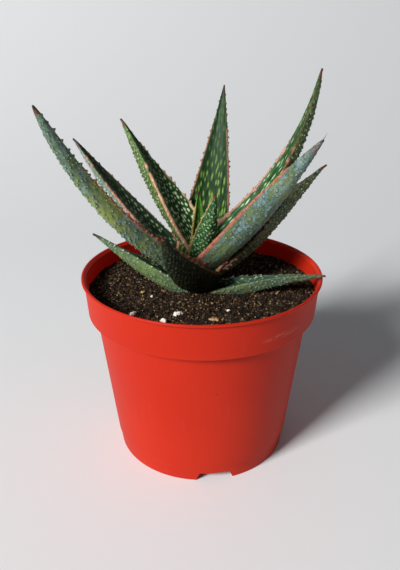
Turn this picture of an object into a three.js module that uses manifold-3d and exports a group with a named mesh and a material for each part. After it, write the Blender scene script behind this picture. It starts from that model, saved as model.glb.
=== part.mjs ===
// A small spotted aloe hybrid growing in a plastic nursery pot.
// Millimetres, +Z up. The pot axis is modelled at x = y = 0 and its foot at z = 0, and the whole
// group is then moved so that the origin is the middle of the bottom of its bounding box.
import * as THREE from "three";
import { mergeVertices } from "three/addons/utils/BufferGeometryUtils.js";
import Module from "manifold-3d";

const wasm = await Module();
wasm.setup();

// Driving dimensions of the pot: one moulded shell of even wall thickness.
const POT = {
  height: 96.7,
  lipRadius: 60.4,
  lipHeight: 1.2,
  lipWidth: 1.3,
  collarTopRadius: 59.1,
  collarBottomRadius: 57.9,
  collarBottom: 77.9,
  neckRadius: 54.2,
  neckBend: 2.6,
  footRadius: 45.2,
  footHeight: 5,
  footLine: 8.4,
  footStep: 0.4,
  wall: 1,
  floorThickness: 1.6,
  round: 0.3,
  sides: 54,
};
const NOTCH = { count: 3, firstAzimuth: -81.7, topWidth: 15.2, bottomWidth: 19 };
const DRAIN = { count: 6, radius: 4, ringRadius: 27, sides: 12 };

// Driving dimensions of what fills the pot.
const SOIL = { level: 87.7, mound: 1.4, moundReach: 20, relief: 0.7, rings: 9, sides: 40 };
const STEM = { rootZ: 64, soilZ: 88, topZ: 104.5, rootRadius: 1.8, soilRadius: 4.6, topRadius: 3, sides: 14 };
const CLEARANCE = 0.35;
const SLIVER = 0.01;

// Driving dimensions that every leaf shares. Depths are shares of the leaf's width there.
const LEAF = {
  stepLength: 2.6,
  tipWidth: 0.6,
  channel: 0.14,
  channelFade: 0.5,
  thickness: 0.34,
  tipThickness: 0.48,
  leastThickness: 0.8,
  backPower: 2.4,
  backRoundness: 0.8,
  marginHeight: 0.45,
  marginBead: 0.35,
  tooth: 1.5,
  toothLean: 0.7,
  backBump: 0.6,
  faceBump: 0.3,
};

// One line for each leaf, youngest first, which is also the order in which they clasp each other.
// base: where the spine starts. azimuth and sweep: its heading and how far that turns to the tip.
// rise: its slope at the base and at the tip. bend: where along the leaf the slope changes.
// roll: turn about the spine at the base and the tip. belly: how much wider the middle is.
// taper: power with which it narrows to the tip. tooth: size of its teeth. tint: its colour.
const LEAVES = [
  { name: "leaf_09", base: [-0.5, 1, 103], azimuth: 110, sweep: 0, rise: [81, 88], bend: 1,
    roll: [0, 0], length: 33.5, width: 12, belly: 0, taper: 0.85, tooth: 0.7, tint: 0x5f8a34 },
  { name: "leaf_08", base: [-2, 1, 105.5], azimuth: -51, sweep: -2, rise: [65, 71], bend: 1,
    roll: [-4, -10], length: 37, width: 10, belly: 0.7, taper: 0.85, tooth: 0.4, tint: 0x4c7a4a },
  { name: "leaf_04", base: [-0.6, 3, 102], azimuth: 80.3, sweep: -8.8, rise: [41.3, 73.7], bend: 1.3,
    roll: [8, -6.5], length: 96.5, width: 25.7, belly: 0.16, taper: 0.89, tooth: 0.35, tint: 0x476b3a },
  { name: "leaf_03", base: [3.2, 3.6, 104], azimuth: 149.5, sweep: 10, rise: [52.2, 54.2], bend: 1.26,
    roll: [-22, 22], length: 79.9, width: 15, belly: 0.7, taper: 0.67, tooth: 1, tint: 0x3f6a3c },
  { name: "leaf_05", base: [0, 3, 102.5], azimuth: 22.3, sweep: -2.5, rise: [37, 77.2], bend: 1.22,
    roll: [22, -27.7], length: 110.7, width: 27.2, belly: -0.16, taper: 0.8, tooth: 0.6, tint: 0x4b7546 },
  { name: "leaf_02", base: [-4, 1.1, 98.4], azimuth: 159, sweep: 3.2, rise: [33.2, 48.4], bend: 0.5,
    roll: [9, 0], length: 87.8, width: 21.5, belly: 0.3, taper: 0.85, tooth: 0.5, tint: 0x3b5f4c },
  { name: "leaf_06", base: [-3.1, 0.55, 102.5], azimuth: -12, sweep: -8.6, rise: [44.7, 49.2], bend: 1,
    roll: [-2, -34], length: 86.1, width: 19, belly: 0.42, taper: 0.67, tooth: 0.5, tint: 0x62806f },
  { name: "leaf_01", base: [-1.5, -0.5, 102], azimuth: 218, sweep: 14, rise: [19.7, 61.4], bend: 0.64,
    roll: [4.2, 39.7], length: 121, width: 19.3, belly: -0.2, taper: 0.66, tooth: 0.8, tint: 0x5a7a68 },
  { name: "leaf_07", base: [1, 3, 100.5], azimuth: 14.7, sweep: -6.6, rise: [37, 36.8], bend: 1,
    roll: [31, -28], length: 77.5, width: 21.7, belly: 0.6, taper: 0.86, tooth: 0.8, tint: 0x3a4f40 },
  { name: "leaf_10", base: [0, -2.5, 97.5], azimuth: 241.5, sweep: 2.4, rise: [20.2, 56.3], bend: 0.95,
    roll: [3.2, 7.6], length: 49.6, width: 21.9, belly: 0.3, taper: 0.88, tooth: 0.7, tint: 0x364436 },
  { name: "leaf_12", base: [3.5, -3.8, 88], azimuth: -8.3, sweep: -4.5, rise: [25.1, 4.7], bend: 0.51,
    roll: [1.2, -25.1], length: 58.8, width: 14.8, belly: 0.24, taper: 0.8, tooth: 1, tint: 0x50644a },
  { name: "leaf_11", base: [-3.4, -2.9, 90.1], azimuth: 181.5, sweep: 3.4, rise: [24.9, 32.8], bend: 0.65,
    roll: [3.9, 21.7], length: 56.9, width: 15.9, belly: 0.35, taper: 0.82, tooth: 1, tint: 0x587a5c },
];

// Loose grains on the soil: place, half sizes and turn.
const GRAINS = [
  { name: "perlite_1", at: [-32, -33.2], half: [1.9, 1, 0.9], turn: 40, tint: 0xe9e6dd },
  { name: "perlite_2", at: [-11.3, -33.7], half: [2.2, 1.2, 1.1], turn: 10, tint: 0xf1eee6 },
  { name: "perlite_3", at: [-17.5, -40.2], half: [1.6, 1.1, 1], turn: -30, tint: 0xe6e2d8 },
  { name: "perlite_4", at: [12.2, -30.1], half: [0.9, 0.7, 0.6], turn: 20, tint: 0xe2ded2 },
  { name: "perlite_5", at: [-24.5, -14.8], half: [0.9, 0.6, 0.6], turn: 75, tint: 0xd9d4c6 },
  { name: "yellow_grain", at: [-29.3, -10.2], half: [1.5, 1.1, 0.9], turn: 30, tint: 0xb59a4e },
  { name: "bark_chip", at: [5.9, -39.2], half: [2.3, 1.2, 0.8], turn: -12, tint: 0xa8855c },
];
const GRAIN_SINK = 0.35;
const TWIG = {
  from: [-27.4, -20.4],
  bend: [-24.6, -19.4],
  to: [-22.1, -17.7],
  radius: 0.55,
  sides: 6,
  tint: 0x2c1c12,
};

const DEGREE = Math.PI / 180;

// A repeatable stream of numbers from 0 to 1.
function randomStream(seed) {
  let state = seed >>> 0;
  return () => {
    state = (state + 0x6d2b79f5) >>> 0;
    let mixed = Math.imul(state ^ (state >>> 15), 1 | state);
    mixed = (mixed + Math.imul(mixed ^ (mixed >>> 7), 61 | mixed)) ^ mixed;
    return ((mixed ^ (mixed >>> 14)) >>> 0) / 4294967296;
  };
}

// A solid whose vertices closer than the tolerance are one, without the faces that collapse.
function solidFrom(geometry, tolerance = 1e-4) {
  const bare = geometry.clone();
  bare.deleteAttribute("normal");
  bare.deleteAttribute("uv");
  const merged = mergeVertices(bare, tolerance);
  const faces = [];
  const index = merged.index.array;
  for (let i = 0; i < index.length; i += 3) {
    const [a, b, c] = [index[i], index[i + 1], index[i + 2]];
    if (a !== b && b !== c && c !== a) {
      faces.push(a, b, c);
    }
  }
  return new wasm.Manifold(
    new wasm.Mesh({
      numProp: 3,
      vertProperties: new Float32Array(merged.attributes.position.array),
      triVerts: new Uint32Array(faces),
    }),
  );
}

function geometryFrom(solid) {
  const mesh = solid.getMesh();
  const places = new Float32Array(mesh.numVert * 3);
  for (let i = 0; i < mesh.numVert; i++) {
    places.set(mesh.vertProperties.subarray(i * mesh.numProp, i * mesh.numProp + 3), i * 3);
  }
  const geometry = new THREE.BufferGeometry();
  geometry.setAttribute("position", new THREE.BufferAttribute(places, 3));
  geometry.setIndex(new THREE.BufferAttribute(mesh.triVerts, 1));
  geometry.computeVertexNormals();
  return geometry;
}

// The main body of a cut solid, with the finest slivers along the cut closed up.
function mainBody(solid) {
  const largest = (best, body) => (body.volume() > best.volume() ? body : best);
  const body = solid.decompose().reduce(largest);
  return solidFrom(geometryFrom(body), SLIVER).decompose().reduce(largest);
}

function namedMesh(name, solid, color, roughness) {
  const material = new THREE.MeshStandardMaterial({ color, roughness, metalness: 0 });
  const mesh = new THREE.Mesh(geometryFrom(solid), material);
  mesh.name = name;
  return mesh;
}

// A closed skin over rings of points that all have the same count, with a fan at each end.
function skinOverRings(rings) {
  const count = rings[0].length;
  const places = rings.flat().flatMap((point) => point.toArray());
  const index = [];
  for (let i = 0; i + 1 < rings.length; i++) {
    for (let j = 0; j < count; j++) {
      const next = (j + 1) % count;
      const [a, b] = [i * count + j, i * count + next];
      index.push(a, b, a + count, b, b + count, a + count);
    }
  }
  const ends = [
    [0, true],
    [rings.length - 1, false],
  ];
  for (const [ring, first] of ends) {
    const middle = rings[ring]
      .reduce((sum, point) => sum.add(point), new THREE.Vector3())
      .divideScalar(count);
    const hub = places.length / 3;
    places.push(...middle.toArray());
    for (let j = 0; j < count; j++) {
      const a = ring * count + j;
      const b = ring * count + ((j + 1) % count);
      index.push(...(first ? [b, a, hub] : [a, b, hub]));
    }
  }
  const geometry = new THREE.BufferGeometry();
  geometry.setAttribute("position", new THREE.Float32BufferAttribute(places, 3));
  geometry.setIndex(index);
  return geometry;
}

function latheAboutZ(profile, sides) {
  const points = profile.map(([radius, height]) => new THREE.Vector2(radius, height));
  return new THREE.LatheGeometry(points, sides).rotateX(Math.PI / 2);
}

// Pot

function bodyRadiusAt(z) {
  return POT.footRadius + ((POT.neckRadius - POT.footRadius) * z) / POT.collarBottom;
}

function collarRadiusAt(z) {
  const share = (z - POT.collarBottom) / (POT.height - POT.lipHeight - POT.collarBottom);
  return POT.collarBottomRadius + (POT.collarTopRadius - POT.collarBottomRadius) * share;
}

function potInnerProfile() {
  const inside = (radius) => radius - POT.wall;
  const floorTop = POT.footHeight + POT.floorThickness;
  return [
    [inside(bodyRadiusAt(floorTop)), floorTop],
    [inside(bodyRadiusAt(POT.collarBottom)), POT.collarBottom + POT.wall],
    [inside(POT.collarBottomRadius) - 1, POT.collarBottom + POT.wall],
    [inside(POT.collarBottomRadius), POT.collarBottom + POT.wall + 1],
    [inside(POT.collarTopRadius), POT.height - POT.lipHeight],
  ];
}

function potSolid() {
  const lipTop = POT.height;
  const lipBottom = lipTop - POT.lipHeight;
  const outside = [
    [POT.footRadius - POT.footStep - 2 * POT.round, 0],
    [POT.footRadius - POT.footStep, 2 * POT.round],
    [bodyRadiusAt(POT.footLine) - POT.footStep, POT.footLine],
    [bodyRadiusAt(POT.footLine), POT.footLine + POT.round],
    [bodyRadiusAt(POT.collarBottom - POT.neckBend), POT.collarBottom - POT.neckBend],
    [POT.neckRadius + 2 * POT.round, POT.collarBottom - 2 * POT.round],
    [POT.collarBottomRadius - 4 * POT.round, POT.collarBottom],
    [POT.collarBottomRadius - POT.round, POT.collarBottom + POT.round],
    [POT.collarBottomRadius, POT.collarBottom + 4 * POT.round],
    [POT.collarTopRadius, lipBottom - POT.round],
    [POT.lipRadius - POT.round, lipBottom],
    [POT.lipRadius, lipBottom + POT.round],
    [POT.lipRadius, lipTop - POT.round],
    [POT.lipRadius - POT.round, lipTop],
    [POT.lipRadius - POT.lipWidth, lipTop],
  ];
  const inside = potInnerProfile().reverse();
  const under = bodyRadiusAt(POT.footHeight) - POT.footStep - POT.wall;
  const foot = [
    [under, POT.footHeight],
    [POT.footRadius - POT.footStep - POT.wall - 0.4, 0],
  ];
  const floorTop = [0, POT.footHeight + POT.floorThickness];
  const floorUnder = [0, POT.footHeight];
  const profile = [floorUnder, foot[0], foot[1], ...outside, ...inside, floorTop];
  let pot = solidFrom(latheAboutZ(profile, POT.sides));
  for (const cutter of [...notchCutters(), ...drainCutters()]) {
    pot = pot.subtract(cutter);
  }
  return pot;
}

function notchCutters() {
  const depth = 14;
  const below = 1;
  const slope = (NOTCH.bottomWidth - NOTCH.topWidth) / 2 / POT.footHeight;
  const bottomHalf = NOTCH.bottomWidth / 2 + slope * below;
  const outline = new THREE.Shape([
    new THREE.Vector2(-bottomHalf, -below),
    new THREE.Vector2(bottomHalf, -below),
    new THREE.Vector2(NOTCH.topWidth / 2, POT.footHeight - 0.2),
    new THREE.Vector2(-NOTCH.topWidth / 2, POT.footHeight - 0.2),
  ]);
  const wedge = new THREE.ExtrudeGeometry(outline, { depth, bevelEnabled: false });
  wedge.rotateX(Math.PI / 2).translate(0, -POT.footRadius + depth / 2, 0);
  return Array.from({ length: NOTCH.count }, (_, i) => {
    const azimuth = NOTCH.firstAzimuth + (i * 360) / NOTCH.count;
    return solidFrom(wedge.clone().rotateZ((azimuth + 90) * DEGREE));
  });
}

function drainCutters() {
  const hole = new THREE.CylinderGeometry(DRAIN.radius, DRAIN.radius, 8, DRAIN.sides);
  hole.rotateX(Math.PI / 2).translate(0, 0, POT.footHeight);
  const ring = Array.from({ length: DRAIN.count }, (_, i) => {
    const azimuth = (i * 360 * DEGREE) / DRAIN.count;
    const [x, y] = [DRAIN.ringRadius * Math.cos(azimuth), DRAIN.ringRadius * Math.sin(azimuth)];
    return solidFrom(hole.clone().translate(x, y, 0));
  });
  return [solidFrom(hole), ...ring];
}

// Stem

function stemSolid(grown = 0) {
  const profile = [
    [0, STEM.rootZ - grown],
    [STEM.rootRadius + grown, STEM.rootZ - grown],
    [STEM.soilRadius * 0.8 + grown, STEM.soilZ - 8],
    [STEM.soilRadius + grown, STEM.soilZ],
    [STEM.topRadius + grown, STEM.topZ - 1 + grown],
    [0, STEM.topZ + grown],
  ];
  return solidFrom(latheAboutZ(profile, STEM.sides));
}

// Leaves

// Points, directions and shares along a leaf's curved spine.
function spineOf(leaf) {
  const count = Math.max(10, Math.round(leaf.length / LEAF.stepLength));
  const step = leaf.length / count;
  const point = new THREE.Vector3(...leaf.base);
  const stations = [];
  const heading = (share) => {
    const rise = (leaf.rise[0] + (leaf.rise[1] - leaf.rise[0]) * share ** leaf.bend) * DEGREE;
    const azimuth = (leaf.azimuth + leaf.sweep * share) * DEGREE;
    return { rise, azimuth };
  };
  const along = ({ rise, azimuth }) =>
    new THREE.Vector3(
      Math.cos(rise) * Math.cos(azimuth),
      Math.cos(rise) * Math.sin(azimuth),
      Math.sin(rise),
    );
  for (let i = 0; i <= count; i++) {
    const share = i / count;
    const turn = heading(share);
    const tangent = along(turn);
    const up = new THREE.Vector3(
      -Math.sin(turn.rise) * Math.cos(turn.azimuth),
      -Math.sin(turn.rise) * Math.sin(turn.azimuth),
      Math.cos(turn.rise),
    );
    const roll = (leaf.roll[0] + (leaf.roll[1] - leaf.roll[0]) * share) * DEGREE;
    const normal = up.applyAxisAngle(tangent, roll);
    const across = new THREE.Vector3().crossVectors(tangent, normal);
    stations.push({ share, tangent, normal, across, point: point.clone() });
    point.addScaledVector(along(heading(share + 0.5 / count)), step);
  }
  return stations;
}

function leafWidthAt(leaf, share) {
  const taper = (1 - share) ** leaf.taper;
  return leaf.width * taper * (1 + 4 * leaf.belly * share * (1 - share)) + LEAF.tipWidth;
}

// The upper face is a channel, and the back is one rounded keel.
function faceDepth(share, width, u) {
  return -LEAF.channel * (1 - share) ** LEAF.channelFade * width * (1 - u * u);
}

function backDepth(share, width, u) {
  const channel = LEAF.channel * (1 - share) ** LEAF.channelFade * width;
  const depth = LEAF.thickness + (LEAF.tipThickness - LEAF.thickness) * share;
  const thickness = Math.max(depth * width, LEAF.leastThickness);
  const round = (1 - Math.abs(u) ** LEAF.backPower) ** LEAF.backRoundness;
  return -(channel + thickness) * round;
}

// Twelve points round the leaf: a toothed margin on each side, five on the face's side, five on
// the back, with the tubercles raised at every other point of every other ring. A grown ring is
// the sleeve round all of that: its teeth and tubercles are everywhere and at their highest.
function leafRing(leaf, station, ringNumber, random, grown) {
  const { share } = station;
  const width = leafWidthAt(leaf, share);
  const half = width / 2;
  const lift = Math.min(LEAF.marginHeight, width * 0.2);
  const draw = () => (grown ? 1 : random());
  const toothRoom = Math.min(1, width / 5) * leaf.tooth * LEAF.tooth;
  const toothHeight = toothRoom * (0.75 + 0.5 * draw());
  const raised = (place) => grown > 0 || (ringNumber + place) % 2 === 0;
  const onTooth = (offset) => raised(offset) && (grown > 0 || share < 0.97);
  const bump = (place, height) => (raised(place) ? height * (0.6 + 0.8 * draw()) : 0);
  const small = Math.min(1, width / 8);
  const margin = (side, offset) => {
    const reach = half + LEAF.marginBead + (onTooth(offset) ? toothHeight : 0);
    const lean = onTooth(offset) && !grown ? LEAF.toothLean : 0;
    return [side * reach, 0, lean];
  };
  const outline = [margin(-1, 0), [-0.9 * half, lift, 0]];
  [-0.5, 0, 0.5].forEach((u, place) => {
    outline.push([u * half, faceDepth(share, width, u) + bump(place, LEAF.faceBump * small), 0]);
  });
  outline.push([0.9 * half, lift, 0], margin(1, 1));
  [0.85, 0.45, 0, -0.45, -0.85].forEach((u, place) => {
    outline.push([u * half, backDepth(share, width, u) - bump(place, LEAF.backBump * small), 0]);
  });
  const middle = (faceDepth(share, width, 0) + backDepth(share, width, 0)) / 2;
  return outline.map(([across, up, lean]) => {
    const spread = Math.hypot(across, up - middle) || 1;
    const swell = 1 + grown / spread;
    return station.point
      .clone()
      .addScaledVector(station.across, across * swell)
      .addScaledVector(station.normal, middle + (up - middle) * swell)
      .addScaledVector(station.tangent, lean);
  });
}

function leafSolid(leaf, seed, grown = 0) {
  const random = randomStream(seed);
  const stations = spineOf(leaf);
  stations[0].point.addScaledVector(stations[0].tangent, -grown);
  stations.at(-1).point.addScaledVector(stations.at(-1).tangent, grown);
  const rings = stations.map((station, i) => leafRing(leaf, station, i, random, grown));
  return solidFrom(skinOverRings(rings));
}

// Soil

function soilSolid(random) {
  const rim = potInnerProfile()
    .filter(([, z]) => z < SOIL.level)
    .map(([radius, z], i) => [radius - CLEARANCE, z + (i === 0 ? CLEARANCE : 0)]);
  const topRadius = collarRadiusAt(SOIL.level) - POT.wall - 2 * CLEARANCE;
  const levels = [...rim, [topRadius, SOIL.level - 0.6]];
  const circle = (radius, height, rough) =>
    Array.from({ length: SOIL.sides }, (_, j) => {
      const azimuth = (j / SOIL.sides) * 2 * Math.PI;
      const z = height + rough * (random() - 0.5) * 2;
      return new THREE.Vector3(radius * Math.cos(azimuth), radius * Math.sin(azimuth), z);
    });
  const rings = levels.map(([radius, height]) => circle(radius, height, 0));
  for (let i = 1; i < SOIL.rings; i++) {
    const radius = topRadius * (1 - i / SOIL.rings);
    const mound = SOIL.mound * Math.exp(-((radius / SOIL.moundReach) ** 2));
    rings.push(circle(radius, SOIL.level + mound, SOIL.relief));
  }
  return solidFrom(skinOverRings(rings));
}

function soilHeightAt(x, y) {
  return SOIL.level + SOIL.mound * Math.exp(-((Math.hypot(x, y) / SOIL.moundReach) ** 2));
}

// Grains and twig on the soil

function grainSolid(grain, seed, grown = 0) {
  const random = randomStream(seed);
  const [a, b, c] = grain.half.map((size) => size + grown);
  const ball = mergeVertices(bareBall());
  const places = ball.attributes.position;
  for (let i = 0; i < places.count; i++) {
    const knock = 0.85 + 0.3 * random();
    places.setXYZ(i, places.getX(i) * a * knock, places.getY(i) * b * knock, places.getZ(i) * c * knock);
  }
  const [x, y] = grain.at;
  const rest = soilHeightAt(x, y) + SOIL.relief + grain.half[2] * GRAIN_SINK;
  ball.rotateZ(grain.turn * DEGREE).translate(x, y, rest);
  return solidFrom(ball);
}

function bareBall() {
  const ball = new THREE.IcosahedronGeometry(1, 1);
  ball.deleteAttribute("normal");
  ball.deleteAttribute("uv");
  return ball;
}

function twigSolid(grown = 0) {
  const lie = ([x, y]) => new THREE.Vector3(x, y, soilHeightAt(x, y) + SOIL.relief + 0.3);
  const path = new THREE.CatmullRomCurve3([TWIG.from, TWIG.bend, TWIG.to].map(lie));
  const section = new THREE.Shape();
  section.absarc(0, 0, TWIG.radius + grown, 0, 2 * Math.PI);
  const settings = { steps: 6, curveSegments: TWIG.sides, extrudePath: path, bevelEnabled: false };
  return solidFrom(new THREE.ExtrudeGeometry(section, settings));
}

// Assembly: each leaf clasps the younger ones with a small clearance, and the soil has a dent or a
// hole wherever something stands or lies in it.

const group = new THREE.Group();
group.add(namedMesh("pot", potSolid(), 0xd23a22, 0.42));

const stemSleeve = stemSolid(CLEARANCE);
group.add(namedMesh("stem", stemSolid(), 0x6b5a3c, 0.8));

const sleeves = [stemSleeve];
LEAVES.forEach((leaf, i) => {
  const seed = 101 + i;
  let solid = leafSolid(leaf, seed);
  for (const sleeve of sleeves) {
    solid = solid.subtract(sleeve);
  }
  group.add(namedMesh(leaf.name, mainBody(solid), leaf.tint, 0.5));
  sleeves.push(leafSolid(leaf, seed, CLEARANCE * 1.4));
});

let soil = soilSolid(randomStream(7));
GRAINS.forEach((grain, i) => {
  group.add(namedMesh(grain.name, grainSolid(grain, 31 + i), grain.tint, 0.9));
  sleeves.push(grainSolid(grain, 31 + i, CLEARANCE));
});
group.add(namedMesh("twig", twigSolid(), TWIG.tint, 0.85));
sleeves.push(twigSolid(CLEARANCE));
for (const sleeve of sleeves) {
  soil = soil.subtract(sleeve);
}
group.add(namedMesh("soil", mainBody(soil), 0x2a1d15, 0.95));

const box = new THREE.Box3().setFromObject(group);
const middle = box.getCenter(new THREE.Vector3());
group.position.set(-middle.x, -middle.y, -box.min.z);

export default group;
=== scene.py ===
"""The looks of a small spotted aloe hybrid in a plastic nursery pot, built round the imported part."""

import math
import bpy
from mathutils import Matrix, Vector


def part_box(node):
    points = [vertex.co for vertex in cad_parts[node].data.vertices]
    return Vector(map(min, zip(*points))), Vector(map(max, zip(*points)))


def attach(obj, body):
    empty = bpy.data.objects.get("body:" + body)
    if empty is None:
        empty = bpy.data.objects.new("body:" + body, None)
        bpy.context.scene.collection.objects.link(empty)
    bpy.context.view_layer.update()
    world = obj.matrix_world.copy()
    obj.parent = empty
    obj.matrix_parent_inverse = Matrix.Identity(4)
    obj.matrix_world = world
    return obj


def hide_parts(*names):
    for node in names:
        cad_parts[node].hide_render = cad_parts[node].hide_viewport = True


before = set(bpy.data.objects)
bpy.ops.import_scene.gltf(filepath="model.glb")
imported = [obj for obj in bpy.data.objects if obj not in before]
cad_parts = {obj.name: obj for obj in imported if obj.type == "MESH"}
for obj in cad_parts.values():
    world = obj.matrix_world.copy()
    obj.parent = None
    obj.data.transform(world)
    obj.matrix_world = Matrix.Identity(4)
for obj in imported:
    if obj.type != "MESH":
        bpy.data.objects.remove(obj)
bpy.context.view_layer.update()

from types import SimpleNamespace

import bmesh
import bpy
import numpy as np
from mathutils import Matrix, Vector

SCENE = bpy.context.scene
MM = 0.001
POT_LOW, POT_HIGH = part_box("pot")
AXIS = ((POT_LOW[0] + POT_HIGH[0]) / 2, (POT_LOW[1] + POT_HIGH[1]) / 2)

# Sizes in millimetres from the pot axis and the surface it stands on, as in the part's source.
POT = SimpleNamespace(
    height=96.7,
    lip_radius=60.4,
    lip_height=1.2,
    lip_width=1.3,
    collar_top=59.1,
    collar_low=57.9,
    collar_z=77.9,
    neck_radius=54.2,
    foot_radius=45.2,
    foot_height=5.0,
    foot_line=8.4,
    foot_step=0.4,
    wall=1.0,
    floor=1.6,
    sides=192,
)
NOTCH_AZIMUTHS = (-81.7, 38.3, 158.3)
NOTCH_TOP, NOTCH_BOTTOM = 15.2, 19.0
DRAIN_RADIUS, DRAIN_RING, DRAIN_COUNT = 4.0, 27.0, 6
DRAIN_LOW, DRAIN_HIGH = 1.0, 9.0

# Points nearer than this become one after a cut, so that no sliver is left.
SLIVER = 0.01

# A pale rubbed place on the outside of the collar: its middle, half its height and half its width in degrees.
SCUFF_HEIGHT, SCUFF_AZIMUTH, SCUFF_HALF_HEIGHT, SCUFF_REACH = 84.4, -51.0, 1.3, 12.0
SCUFF_INSIDE, SCUFF_STRENGTH = 57.0, 0.26

# The soil, and the radius and height of its edges below the top. The stem is given by radius and height.
SOIL_LEVEL, SOIL_MOUND, SOIL_REACH = 87.7, 1.4, 20.0
SOIL_TOP_RADIUS = 57.5
SOIL_SIDE = ((57.0, 82.0), (52.8, 78.0), (44.8, 7.6))
STEM_PROFILE = ((1.2, 65.0), (2.4, 76.0), (3.6, 83.0), (4.4, 88.0), (3.9, 96.0), (2.9, 103.4), (1.6, 104.2))

# The camera stands where the photographer did: in front of the pot and looking down on it.
# CAMERA_NEAR, the nearest that it sees, is in metres.
CAMERA_PLACE = (-0.92, -289.6, 219.6)
CAMERA_DIP = 24.4
CAMERA_NEAR = 0.01
CAMERA_FOCAL_PIXELS = 620
PHOTO_HEIGHT = 570
SENSOR = 36.0

# The light, in metres and degrees: a soft window from the front left, aimed at the height KEY_AIM, and the
# strength of the room's own light.
KEY_AZIMUTH, KEY_RISE, KEY_DISTANCE = 225.0, 31.0, 4.0
KEY_SIZE, KEY_POWER, KEY_AIM = 1.1, 226.0, 0.1
ROOM_STRENGTH = 0.115

# What all leaves share, in millimetres or as shares of the leaf's width.
LEAF_STEP = 0.43
LEAF_TIP = 0.6
LEAF_CHANNEL = 0.14
LEAF_CHANNEL_FADE = 0.5
LEAF_THICKNESS = 0.34
LEAF_TIP_THICKNESS = 0.48
LEAF_LEAST = 0.8
LEAF_BACK_POWER = 2.4
LEAF_BACK_ROUND = 0.8
MARGIN_LIFT = 0.45
EDGE_INSET = 0.1
TOOTH_HEIGHT = 1.15
TOOTH_PITCH = 4.5
CALM_TIP = 3.0

# Points in the tables of smooth noise and of shaken bumps, before they repeat.
NOISE_TABLE, BUMP_TABLE = 64, 97


def srgb(code):
    """A linear colour from six hexadecimal digits."""
    parts = [int(code[i : i + 2], 16) / 255 for i in (0, 2, 4)]
    return tuple(c / 12.92 if c <= 0.04045 else ((c + 0.055) / 1.055) ** 2.4 for c in parts) + (1.0,)


# Mesh helpers


def add_object(name, data):
    added = bpy.data.objects.new(name, data)
    SCENE.collection.objects.link(added)
    return added


def smooth_mesh(name, points, faces):
    mesh = bpy.data.meshes.new(name)
    mesh.from_pydata(points, [], faces)
    mesh.polygons.foreach_set("use_smooth", [True] * len(mesh.polygons))
    return mesh


def millimetre_box(node):
    """Lowest and highest corners of a node, in millimetres from the pot axis."""
    return (np.array(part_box(node)) - [AXIS[0], AXIS[1], 0]) / MM


def mesh_piece(name, points, faces, replaced, material, attributes=None):
    """A piece from points in millimetres round the pot axis, riding on the one body."""
    places = np.asarray(points, float) * MM
    places[:, 0] += AXIS[0]
    places[:, 1] += AXIS[1]
    mesh = smooth_mesh(name, places.tolist(), faces)
    for label, values in (attributes or {}).items():
        values = np.asarray(values, np.float32)
        kind = "FLOAT_VECTOR" if values.ndim == 2 else "FLOAT"
        field = "vector" if values.ndim == 2 else "value"
        mesh.attributes.new(label, kind, "POINT").data.foreach_set(field, values.ravel())
    mesh.materials.append(material)
    mesh.update()
    piece = add_object(name, mesh)
    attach(piece, "root")
    if replaced:
        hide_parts(replaced)
    return piece


def ring_faces(rows, columns, turned=False):
    """Faces over closed rings of points, with a fan at each end to the two points that come after them."""
    row, column = np.meshgrid(np.arange(rows - 1), np.arange(columns), indexing="ij")
    a = row * columns + column
    b = row * columns + (column + 1) % columns
    faces = np.stack([a, b, b + columns, a + columns], -1).reshape(-1, 4).tolist()
    first = rows * columns
    top = first - columns
    for k in range(columns):
        n = (k + 1) % columns
        faces.append([n, k, first])
        faces.append([top + k, top + n, first + 1])
    return [face[::-1] for face in faces] if turned else faces


def value_noise(x, y, seed):
    """Smooth noise from -1 to 1 over the plane, the same on every run."""
    table = np.random.default_rng(seed).uniform(-1, 1, (NOISE_TABLE, NOISE_TABLE))
    xi, yi = np.floor(x).astype(int), np.floor(y).astype(int)
    fx, fy = x - xi, y - yi
    fx, fy = fx * fx * (3 - 2 * fx), fy * fy * (3 - 2 * fy)
    west, east = xi % NOISE_TABLE, (xi + 1) % NOISE_TABLE
    south, north = yi % NOISE_TABLE, (yi + 1) % NOISE_TABLE
    low = table[west, south] * (1 - fx) + table[east, south] * fx
    high = table[west, north] * (1 - fx) + table[east, north] * fx
    return low * (1 - fy) + high * fy


def scattered_bumps(x, y, pitch, sizes, seed, presence, jitter):
    """Heights from 0 to 1 of rounded bumps on a staggered, shaken lattice, for each of the sizes."""
    rng = np.random.default_rng(seed)
    lattice = (BUMP_TABLE, BUMP_TABLE)
    shift_x = rng.uniform(-jitter, jitter, lattice)
    shift_y = rng.uniform(-jitter, jitter, lattice)
    scale = rng.uniform(0.7, 1.25, lattice)
    there = rng.uniform(0, 1, lattice) < presence
    best = [np.zeros_like(x) for _ in sizes]
    column = np.floor(x / pitch[0]).astype(int)
    for i in (-1, 0, 1):
        cell_x = column + i
        stagger = 0.5 * (cell_x % 2)
        row = np.floor(y / pitch[1] - stagger).astype(int)
        for j in (-1, 0, 1):
            cell_y = row + j
            a, b = cell_x % BUMP_TABLE, cell_y % BUMP_TABLE
            dx = x - (cell_x + 0.5 + shift_x[a, b]) * pitch[0]
            dy = y - (cell_y + 0.5 + stagger + shift_y[a, b]) * pitch[1]
            for k, size in enumerate(sizes):
                reach = (dx / (size[0] * scale[a, b])) ** 2 + (dy / (size[1] * scale[a, b])) ** 2
                best[k] = np.maximum(best[k], np.where(there[a, b], np.clip(1 - reach, 0, 1), 0))
    return best


# Material helpers


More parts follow.
